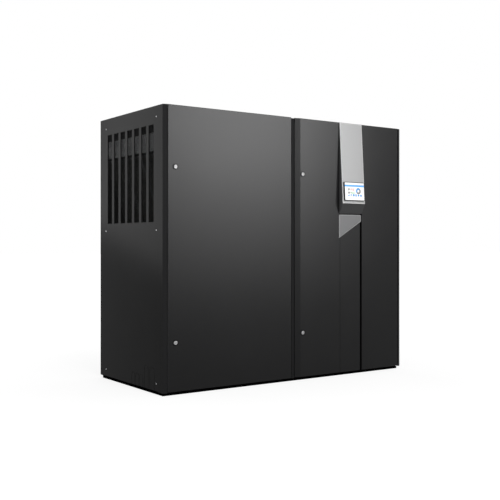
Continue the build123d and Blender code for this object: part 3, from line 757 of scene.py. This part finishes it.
def inner_screws():
    """Screws round the inner panels and the electric box's cover, which show with the doors open."""
    for node in ("inner_panel_left", "inner_panel_right"):
        low, high = node_box(node)
        heights = spread(low.z + INNER_SCREW_END, high.z - INNER_SCREW_END, INNER_SCREW_COUNT)
        places = [Vector((x, low.y, z)) for x in (low.x + INNER_SCREW_INSET, high.x - INNER_SCREW_INSET)
                  for z in heights]
        screws(f"{node}_screws", places, FRONT, PROUD_SCREW_HEIGHT)
    low, high = node_box("electric_cover")
    along = spread(low.x + COVER_SCREW_INSET, high.x - COVER_SCREW_INSET, COVER_SCREW_COUNT)
    places = [Vector((x, low.y, z)) for x in along
              for z in (low.z + COVER_SCREW_INSET, high.z - COVER_SCREW_INSET)]
    screws("electric_cover_screws", places, FRONT, PROUD_SCREW_HEIGHT)


# Door seals, linings and stiffeners

def frame_ring(low, high, y, profile):
    """A closed upright ring in front of the plane y, from (inset, rise) pairs in millimetres."""
    vertices, faces = [], []
    for inset, rise in profile:
        vertices += rectangle(low, high, inset * MM, y - rise * MM)
    for step, after in around(len(profile)):
        faces += [[4 * step + corner, 4 * step + beyond, 4 * after + beyond, 4 * after + corner]
                  for corner, beyond in around(4)]
    return vertices, faces


def door_seal(side):
    """The rubber seal of a door, round the opening on the cabinet's frame."""
    door_low, door_high = node_box(f"{side}_door_back")
    sill = node_box("base_front")[1].z
    head = node_box("header_front")[0].z
    low = Vector((door_low.x + SEAL_INSET, 0, sill - SEAL_OVERLAP))
    high = Vector((door_high.x - SEAL_INSET, 0, head + SEAL_OVERLAP))
    vertices, faces = frame_ring(low, high, node_box("strike_strips")[0].y, SEAL_PROFILE)
    make_piece(f"door_seal_{side}", vertices, faces, "rubber", "cabinet", "housing_black")


def pillow(low, high, y):
    """A flat pad on the plane y, with rounded edges, standing out towards +y."""
    steps = 5
    vertices, faces = [], []
    for step in range(steps):
        angle = math.pi / 2 * step / (steps - 1)
        height = LINING_RISE - LINING_EDGE + LINING_EDGE * math.sin(angle) if step else 0.0
        vertices += rectangle(low, high, LINING_EDGE * (1 - math.cos(angle)), y + height)
    for base in range(0, 4 * (steps - 1), 4):
        faces += [[base + beyond, base + corner, base + 4 + corner, base + 4 + beyond]
                  for corner, beyond in around(4)]
    faces.append([0, 1, 2, 3])
    faces.append([4 * (steps - 1) + k for k in (3, 2, 1, 0)])
    return vertices, faces


def hat_rail(x, low_z, high_z, y):
    """A folded stiffener with two flanges, standing on the plane y towards +y."""
    points = [Vector((x + u * MM, y + v * MM, low_z)) for u, v in HAT_SECTION]
    return prism(points, Vector((0, 0, high_z - low_z)))


def door_inside(side):
    """Two hat rails and three foam linings on the back of a door, clear of its latches and hinges."""
    low, high = node_box(f"{side}_door_back")
    start = low + Vector((LINING_LATCH_CLEAR, 0, LINING_END_CLEAR))
    end = high - Vector((LINING_HINGE_CLEAR, 0, LINING_END_CLEAR))
    rails = [start.x + (end.x - start.x) * share for share in (1 / 3, 2 / 3)]
    vertices, faces = joined([hat_rail(x, start.z, end.z, high.y) for x in rails])
    make_piece(f"door_rails_{side}", vertices, faces, "galvanised", f"{side}_door", "galvanised")
    edges = [start.x, *rails, end.x]
    for number, (left, right) in enumerate(zip(edges, edges[1:])):
        pad_low = Vector((left + LINING_RAIL_CLEAR, 0, start.z))
        pad_high = Vector((right - LINING_RAIL_CLEAR, 0, end.z))
        vertices, faces = pillow(pad_low, pad_high, high.y)
        make_piece(f"door_lining_{side}_{number + 1}", vertices, faces, "foam", f"{side}_door",
                   "housing_black")


# Pleated filters behind the grilles

def pleated_filters(side):
    """Framed filter cassettes, whose pleats run down the slope of the plain ones."""
    low, high = node_box("filters")
    outward = facing(side)
    outer = low.x if side == "left" else high.x
    full = high.z - low.z
    border = CASSETTE_BORDER

    def slope_point(depth, y, drop):
        """A point at a depth behind the slope and a drop below its top."""
        x = outer - outward * (FILTER_LEAN * (drop / full) + depth)
        return Vector((x, y, high.z - drop))

    cloths, bars = [], []
    span = (high.y - low.y) / CASSETTE_COUNT
    for cassette in range(CASSETTE_COUNT):
        y0 = low.y + cassette * span + CASSETTE_GAP
        y1 = y0 + span - 2 * CASSETTE_GAP
        pleated = y1 - y0 - 2 * PLEAT_MARGIN
        pleats = int(pleated / PLEAT_PITCH)
        line = [(PLEAT_DEPTHS[index % 2], y0 + PLEAT_MARGIN + pleated * index / pleats)
                for index in range(pleats + 1)]
        outline = line + [(depth + CLOTH, y) for depth, y in reversed(line)]
        count = len(outline)
        points = [slope_point(depth, y, drop) for drop in (border, full - border) for depth, y in outline]
        faces = [list(range(count)), list(reversed(range(count, 2 * count)))]
        faces += [[after, index, index + count, after + count] for index, after in around(count)]
        cloths.append((points, faces))
        for ya, yb, top, foot in ((y0, y0 + border, 0, full), (y1 - border, y1, 0, full),
                                  (y0 + border, y1 - border, 0, border),
                                  (y0 + border, y1 - border, full - border, full)):
            corners = [slope_point(depth, y, drop) for drop in (top, foot)
                       for depth, y in ((0, ya), (0, yb), (CASSETTE_DEPTH, yb), (CASSETTE_DEPTH, ya))]
            bars.append((corners, [[0, 1, 2, 3], [7, 6, 5, 4], [4, 5, 1, 0], [5, 6, 2, 1], [6, 7, 3, 2],
                                   [7, 4, 0, 3]]))
    cloth = make_piece(f"filter_pleats_{side}", *joined(cloths), "filter_media", "cabinet", "filter_media")
    make_piece(f"filter_frames_{side}", *joined(bars), "galvanised", "cabinet", "filter_media")
    if side == "left":
        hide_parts("filters")


def blank_off(side):
    """A folded sheet that closes the gap between a filter's rail and the top frame."""
    low, high = node_box("filter_rails")
    inward = -facing(side)
    start = (low.x if side == "left" else high.x) + inward * BLANK_OFF_INSET
    top = node_box("header_ring")[0].z - BLANK_OFF_GAP
    foot = high.z - BLANK_OFF_LAP
    section = [(0, foot), (0, top), (BLANK_OFF_FLANGE, top), (BLANK_OFF_FLANGE, top - BLANK_OFF_SHEET),
               (BLANK_OFF_SHEET, top - BLANK_OFF_SHEET), (BLANK_OFF_SHEET, foot)]
    points = [Vector((start + inward * x, low.y + BLANK_OFF_GAP, z)) for x, z in section]
    vertices, faces = prism(points, Vector((0, high.y - low.y - 2 * BLANK_OFF_GAP, 0)))
    make_piece(f"blank_off_{side}", vertices, faces, "frame_paint", "cabinet", "frame_paint")


# Screen of the display

def screen_frame():
    """The screen's front plane: its top left corner, right and down directions, normal and size."""
    mesh = NODES["display_screen"].data
    out = front_normal(mesh)
    down = RIGHT.cross(out).normalized()
    if down.z > 0:
        down = -down
    points = [vertex.co for vertex in mesh.vertices]
    level = max(point.dot(out) for point in points)
    lefts = [point.dot(RIGHT) for point in points]
    downs = [point.dot(down) for point in points]
    corner = RIGHT * min(lefts) + down * min(downs) + out * level
    return corner, down, out, max(lefts) - min(lefts), max(downs) - min(downs)


def arc_points(centre, radius, start, end, steps=24):
    """Flat points along an arc, with angles in degrees clockwise from the top."""
    angles = [math.radians(start + (end - start) * step / steps) for step in range(steps + 1)]
    return [(centre[0] + radius * math.sin(angle), centre[1] - radius * math.cos(angle)) for angle in angles]


def band(centre, outer, inner, start, end):
    """A stretch of a flat ring."""
    return arc_points(centre, outer, start, end) + list(reversed(arc_points(centre, inner, start, end)))


def box_outline(x0, y0, x1, y1):
    """The corners of a flat rectangle."""
    return [(x0, y0), (x1, y0), (x1, y1), (x0, y1)]


def digit_outlines(text, x, y, height):
    """Plain numerals made of straight strokes."""
    width, stroke, half = height * DIGIT_WIDTH, height * DIGIT_STROKE, height / 2
    strokes = {"a": (0, 0, width, stroke), "g": (0, half - stroke / 2, width, half + stroke / 2),
               "d": (0, height - stroke, width, height), "f": (0, 0, stroke, half),
               "b": (width - stroke, 0, width, half), "e": (0, half, stroke, height),
               "c": (width - stroke, half, width, height)}
    outlines = []
    for letter in text:
        if letter == ".":
            outlines.append(box_outline(x, y + height - stroke, x + stroke, y + height))
            x += stroke * 2
            continue
        for name in DIGIT_STROKES[letter]:
            x0, y0, x1, y1 = strokes[name]
            outlines.append(box_outline(x + x0, y + y0, x + x1, y + y1))
        x += width + stroke * DIGIT_GAP
    return outlines


def sign_outlines(shape, x, y, size):
    """One of the plain signs, which reaches a size from its centre to each side."""
    if shape == "bars":
        outlines = []
        for step in (-1, 0, 1):
            left = x + step * size * 0.75 - size * 0.25
            outlines.append(box_outline(left, y - size * (0.4 + 0.3 * step), left + size * 0.5, y + size))
        return outlines
    if shape == "ring":
        return [band((x, y), size, size * 0.5, start, start + 180) for start in (0, 180)]
    if shape == "square":
        return [box_outline(x - size, y - size, x + size, y + size)]
    if shape == "frame":
        return [box_outline(x - size, y - size, x + size, y - size * 0.4),
                box_outline(x - size, y - size * 0.1, x + size, y + size)]
    if shape == "disc":
        return [arc_points((x, y), size, 0, 345, 23)]
    return [[(x, y - size), (x + size, y - 0.2 * size), (x + size, y + size), (x - size, y + size),
             (x - size, y - 0.2 * size)]]


def screen_layout(width, height):
    """Flat outlines for each colour of the display, from its top left corner."""
    gauge = (GAUGE_CENTRE[0] * width, GAUGE_CENTRE[1] * height)
    blue = [band(gauge, *GAUGE_RADII, *GAUGE_BLUE)]
    for share, shape in SIGNS:
        blue += sign_outlines(shape, share * width, SIGN_ROW * height, SIGN_SIZE)
    grey = [box_outline(x0 * width, y0 * height, x1 * width, y1 * height) for x0, y0, x1, y1 in LABELS]
    layout = {
        "screen_header": [box_outline(0, HEADER_TOP * height, width, HEADER_FOOT * height)],
        "screen_blue": blue,
        "screen_grey": grey + [band(gauge, *GAUGE_RADII, *GAUGE_GREY)],
    }
    for name, (text, x, y) in READINGS.items():
        layout[name] = digit_outlines(text, x * width, y * height, READING_HEIGHT * height)
    return layout


def screen_display():
    """The generic display: a header, two readings, a gauge and a row of signs, each a thin film."""
    corner, down, out, width, height = screen_frame()
    lift, film = out * (0.2 * SCREEN_FILM), out * (0.8 * SCREEN_FILM)
    for name, outlines in screen_layout(width, height).items():
        parts = [prism([corner + RIGHT * x + down * y + lift for x, y in outline], film)
                 for outline in outlines]
        make_piece(name, *joined(parts), name, "right_door", "screen")


# Second materials and softened edges on the nodes

TOP_NODES = ("left_door_panel", "right_door_left_panel", "right_door_right_panel", "header_front",
             "post_front_left", "post_front_right", "post_middle")
# Faces that look one way take another finish: the console's left sides a lighter grey as painted light, the
# corner posts' sides the wall's paint, and the groove wall and door backs a darker paint as painted shade
SIDE_LOOKS = (("display_housing", "cowl_grey", LEFT), ("display_cowl", "cowl_side", LEFT),
              ("post_front_left", "wall_paint", LEFT), ("post_front_right", "wall_paint", RIGHT),
              ("right_door_right_panel", "inner_frame_paint", LEFT),
              ("left_door_back", "inner_frame_paint", FRONT), ("right_door_back", "inner_frame_paint", FRONT))


def paint_faces(node, material, chosen):
    """A second material on the faces of a node that a test picks out."""
    mesh = NODES[node].data
    mesh.materials.append(MATERIALS[material])
    for face in mesh.polygons:
        if chosen(face):
            face.material_index = len(mesh.materials) - 1


def paint_edges():
    """A lighter rim on the bezel as a painted highlight, and the faces that show beside the doors, posts and
    console: painted light on the console's left sides and the door's left edge, painted shade in the gaps.
    """
    bezel = NODES["display_bezel"].data
    out = front_normal(bezel)
    rim = max(vertex.co.dot(out) for vertex in bezel.vertices) - BEZEL_RIM_DEPTH
    # The bezel's outermost rim and its left side take the lighter silver as a painted highlight
    paint_faces("display_bezel", "silver_edge",
                lambda face: face.center.dot(out) > rim or looks_along(face, LEFT))
    for node, material, direction in SIDE_LOOKS:
        paint_faces(node, material, lambda face: looks_along(face, direction))
    # The strike strips by the corner posts keep the plain frame paint, without the painted shade
    paint_faces("strike_strips", "frame_paint", lambda face: abs(face.center.x) > CORNER_STRIPS)
    # The left door's left edge takes a lighter paint as painted light
    edge = node_box("left_door_panel")[0].x + DOOR_EDGE_DEPTH
    paint_faces("left_door_panel", "door_edge_paint", lambda face: face.center.x < edge)
    for name in TOP_NODES:
        paint_faces(name, "roof_paint", top_face)


def drawn_in(outline, distance):
    """A flat outline, with its corners in clockwise order, drawn in by a distance."""
    points = []
    for index, point in enumerate(outline):
        before = (point - outline[index - 1]).normalized()
        after = (outline[(index + 1) % len(outline)] - point).normalized()
        inward = Vector((before.y, -before.x)) + Vector((after.y, -after.x))
        points.append(point + inward * (distance / (1 + before.dot(after))))
    return points


def accent_piece():
    """The accent plate with the wide chamfer, whose faces take lighter finishes along its edges as a painted
    highlight.
    """
    low, high = node_box("accent_plate")
    points = [vertex.co for vertex in NODES["accent_plate"].data.vertices]
    left_foot = min(point.z for point in points if point.x < low.x + 0.1 * MM)
    right_foot = min(point.z for point in points if point.x > high.x - 0.1 * MM)
    outline = [Vector(corner) for corner in ((low.x, high.z), (high.x, high.z), (high.x, right_foot),
                                             (low.x, left_foot))]
    rings = [(outline, high.y), (outline, low.y + ACCENT_BEVEL_DEPTH),
             (drawn_in(outline, ACCENT_BEVEL_WIDTH), low.y)]
    vertices = [Vector((corner.x, y, corner.y)) for ring, y in rings for corner in ring]
    faces = [[0, 1, 2, 3], [11, 10, 9, 8]]
    faces += [[start + index, start + after, start + 4 + after, start + 4 + index]
              for start in (0, 4) for index, after in around(4)]
    piece = make_piece("accent", vertices, faces, "accent_grey", "right_door", "accent_grey")
    for finish in ("accent_edge", "silver_edge"):
        piece.data.materials.append(MATERIALS[finish])
    # The chamfer and sides take the lighter accent finish, and the slanted foot the lighter silver, as
    # painted highlights
    for face in piece.data.polygons:
        if -0.99 < face.normal.y < 0.99:
            slanted_foot = face.normal.x > 0.01 and face.normal.z < -0.01
            face.material_index = 2 if slanted_foot else 1
    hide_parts("accent_plate")


SHARP_NODES = ("left_door_panel", "right_door_left_panel", "right_door_right_panel", "display_column",
               "display_bezel", "display_cowl", "post_front_left", "post_front_right", "post_rear_left",
               "post_rear_right", "post_middle", "header_front", "base_front", "base_rear", "base_sides",
               "strike_strips", "inner_panel_left", "inner_panel_right")


def soften_edges():
    """Flat shading and a fine bevel modifier on the nodes of bent sheet, whose mesh stays their own."""
    for name in SHARP_NODES:
        node = NODES[name]
        node.data.attributes.remove(node.data.attributes["custom_normal"])
        node.data.shade_flat()
        weld = node.modifiers.new("weld", "WELD")
        weld.merge_threshold = WELD_DISTANCE
        bevel = node.modifiers.new("bevel", "BEVEL")
        bevel.width = EDGE_RADIUS
        bevel.segments = 2
        bevel.limit_method = "ANGLE"
        bevel.angle_limit = math.radians(EDGE_ANGLE)


# Camera, floor and light

def set_camera():
    """The photograph's camera."""
    data = bpy.data.cameras.new("camera")
    data.sensor_width = SENSOR_WIDTH
    data.lens = FOCAL_PIXELS / FRAME_PIXELS * SENSOR_WIDTH
    data.shift_x, data.shift_y = CAMERA_SHIFT
    camera = add_object("camera", data)
    camera.location = CAMERA_PLACE
    camera.rotation_euler = (math.radians(90.0), 0.0, math.radians(CAMERA_TURN))
    bpy.context.scene.camera = camera


def seen_by_eye_or_mirror(tree):
    """1 for rays from the camera and from glossy or clear surfaces, 0 for diffuse ones."""
    path = add_node(tree, "ShaderNodeLightPath")
    total = path.outputs["Is Camera Ray"]
    for name in ("Is Glossy Ray", "Is Transmission Ray"):
        larger = add_node(tree, "ShaderNodeMath", operation="MAXIMUM")
        tree.links.new(total, larger.inputs[0])
        tree.links.new(path.outputs[name], larger.inputs[1])
        total = larger.outputs["Value"]
    return total


def set_world():
    """A white world to look at, and a softer grey one as the fill light."""
    world = bpy.data.worlds.new("studio")
    bpy.context.scene.world = world
    world.use_nodes = True
    tree = world.node_tree
    background = tree.nodes["Background"]
    background.inputs["Color"].default_value = (1.0, 1.0, 1.0, 1.0)
    tree.links.new(ranged(tree, seen_by_eye_or_mirror(tree), WORLD_FILL, 1.0), background.inputs["Strength"])


def add_floor():
    """A pale floor that keeps the shadow and reads as white to the eye and in reflections."""
    half = FLOOR_HALF_SIZE
    mesh = bpy.data.meshes.new("floor")
    mesh.from_pydata([(-half, -half, 0), (half, -half, 0), (half, half, 0), (-half, half, 0)], [],
                     [(0, 1, 2, 3)])
    floor = add_object("floor", mesh)
    material, tree, shader = new_material("floor")
    shader.inputs["Base Color"].default_value = (FLOOR_COLOUR, FLOOR_COLOUR, FLOOR_COLOUR, 1.0)
    shader.inputs["Roughness"].default_value = 1.0
    shader.inputs["Specular IOR Level"].default_value = 0.0
    shader.inputs["Emission Color"].default_value = (1.0, 1.0, 1.0, 1.0)
    distance = add_node(tree, "ShaderNodeVectorMath", operation="LENGTH")
    tree.links.new(object_place(tree), distance.inputs[0])
    glow = ranged(tree, distance.outputs["Value"], FLOOR_GLOW, 1.0, *FLOOR_FADE)
    strength = add_node(tree, "ShaderNodeMath", operation="MULTIPLY")
    tree.links.new(seen_by_eye_or_mirror(tree), strength.inputs[0])
    tree.links.new(glow, strength.inputs[1])
    tree.links.new(strength.outputs["Value"], shader.inputs["Emission Strength"])
    mesh.materials.append(material)


def add_softbox(name, place, target, size, radiance, lean=0.0, diffuse=True, gloss=True):
    """A rectangular lamp of a given brightness, turned towards a point and leaning by an angle."""
    data = bpy.data.lights.new(name, "AREA")
    data.shape = "RECTANGLE"
    data.size, data.size_y = size
    data.energy = radiance * math.pi * size[0] * size[1]
    lamp = add_object(name, data)
    lamp.location = place
    aim = (Vector(target) - Vector(place)).to_track_quat("-Z", "Y").to_matrix()
    lamp.rotation_euler = (aim @ Matrix.Rotation(math.radians(lean), 3, "Z")).to_euler()
    lamp.visible_camera = False
    lamp.visible_diffuse = diffuse
    lamp.visible_glossy = gloss


def add_lamps():
    """The key lamp, the doors' sheen, the lamp beside the left wall and the two fills."""
    add_softbox("key", *KEY_LAMP, gloss=False)
    for low_edge, high_edge, radiance in SHEEN_STEPS:
        middle = (low_edge + high_edge) / 2
        add_softbox("sheen", (SHEEN_X, SHEEN_Y, middle), (SHEEN_X, 0.0, middle),
                    (SHEEN_WIDTH, high_edge - low_edge), radiance, diffuse=False)
    add_softbox("side", *SIDE_LAMP, lean=SIDE_LEAN, diffuse=False)
    add_softbox("back_fill", *BACK_FILL, gloss=False)
    add_softbox("right_fill", *RIGHT_FILL, gloss=False)


dress_nodes()
for side in ("left", "right"):
    side_wall(side)
    perforated_strips(side)
    door_seal(side)
    door_inside(side)
    pleated_filters(side)
    blank_off(side)
rear_and_roof_screws()
inner_screws()
screen_display()
accent_piece()
paint_edges()
soften_edges()
set_camera()
set_world()
add_floor()
add_lamps()

bpy.context.scene.view_settings.view_transform = "Standard"
